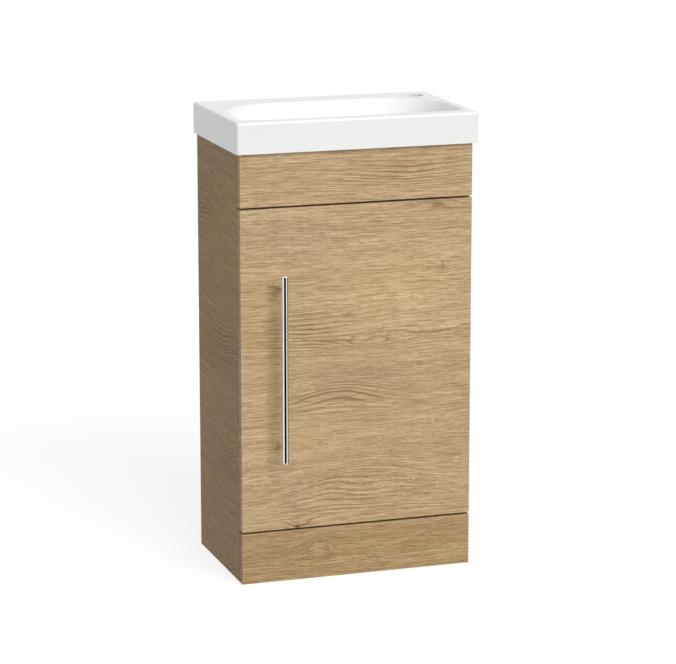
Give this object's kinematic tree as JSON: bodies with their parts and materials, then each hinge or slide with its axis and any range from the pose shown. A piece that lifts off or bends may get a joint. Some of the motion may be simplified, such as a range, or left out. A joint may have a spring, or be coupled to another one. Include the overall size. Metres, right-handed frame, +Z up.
{
  "type": "cloakroom vanity unit",
  "caption": "Slim floor-standing cloakroom vanity unit: oak-effect cabinet with a hinged door and chrome bar handle under a ceramic basin with a side tap hole.",
  "frame": {"origin": "on the floor, under the middle of the unit's overall box", "axes": "+X to the right seen from the front, +Y to the wall behind, +Z up"},
  "size_m": [0.4, 0.28, 0.746],
  "materials": {
    "oak_board": "oak-effect faced board, horizontal grain, satin",
    "glazed_ceramic": "gloss white",
    "polished_chrome": "polished",
    "plated_steel": "nickel plated",
    "zinc_alloy": "die cast, dull",
    "white_plastic": "moulded, matte",
    "beech": "plain turned beech",
    "clear_rubber": "soft, translucent"
  },
  "bodies": {
    "carcass": {"arm_screws": "plated_steel", "base_panel": "oak_board", "basin": "glazed_ceramic", "cam_bolts": "plated_steel", "cam_discs": "zinc_alloy", "fascia_blocks": "white_plastic", "front_fascia": "oak_board", "front_rail": "oak_board", "inner_shelf": "oak_board", "left_side_panel": "oak_board", "lower_back_rail": "oak_board", "lower_hinge_arm": "plated_steel", "lower_hinge_arm_pins": "plated_steel", "lower_hinge_plate": "zinc_alloy", "plate_screws": "plated_steel", "plinth_blocks": "white_plastic", "plinth_panel": "oak_board", "right_side_panel": "oak_board", "shelf_pins": "plated_steel", "upper_back_rail": "oak_board", "upper_hinge_arm": "plated_steel", "upper_hinge_arm_pins": "plated_steel", "upper_hinge_plate": "zinc_alloy", "wooden_dowels": "beech"},
    "door": {"cup_screws": "plated_steel", "door": "oak_board", "door_bumpers": "clear_rubber", "handle_bar": "polished_chrome", "handle_posts": "polished_chrome", "handle_screws": "plated_steel", "lower_hinge_cup": "plated_steel", "lower_hinge_cup_pins": "plated_steel", "upper_hinge_cup": "plated_steel", "upper_hinge_cup_pins": "plated_steel"},
    "hinge_long_links": {"lower_hinge_long_links": "plated_steel", "upper_hinge_long_links": "plated_steel"},
    "hinge_short_links": {"lower_hinge_short_link": "plated_steel", "upper_hinge_short_link": "plated_steel"}
  },
  "joints": [
    {"name": "long_link_turn", "type": "hinge", "parent": "carcass", "child": "hinge_long_links", "pos_m": [0.15425, -0.0644, 0.34675], "axis": [0, 0, 1], "range_deg": [-30.21, 0]},
    {"name": "door_swing", "type": "hinge", "parent": "hinge_long_links", "child": "door", "pos_m": [0.18305, -0.08945, 0.34675], "axis": [0, 0, 1], "range_deg": [0, 120.2]},
    {"name": "short_link_turn", "type": "hinge", "parent": "carcass", "child": "hinge_short_links", "pos_m": [0.1618, -0.08755, 0.34675], "axis": [0, 0, 1], "range_deg": [-45.81, 0]}
  ],
  "couplings": [
    {"joint": "long_link_turn", "follows": "door_swing", "ratio": -0.25125},
    {"joint": "short_link_turn", "follows": "door_swing", "ratio": -0.38103}
  ]
}
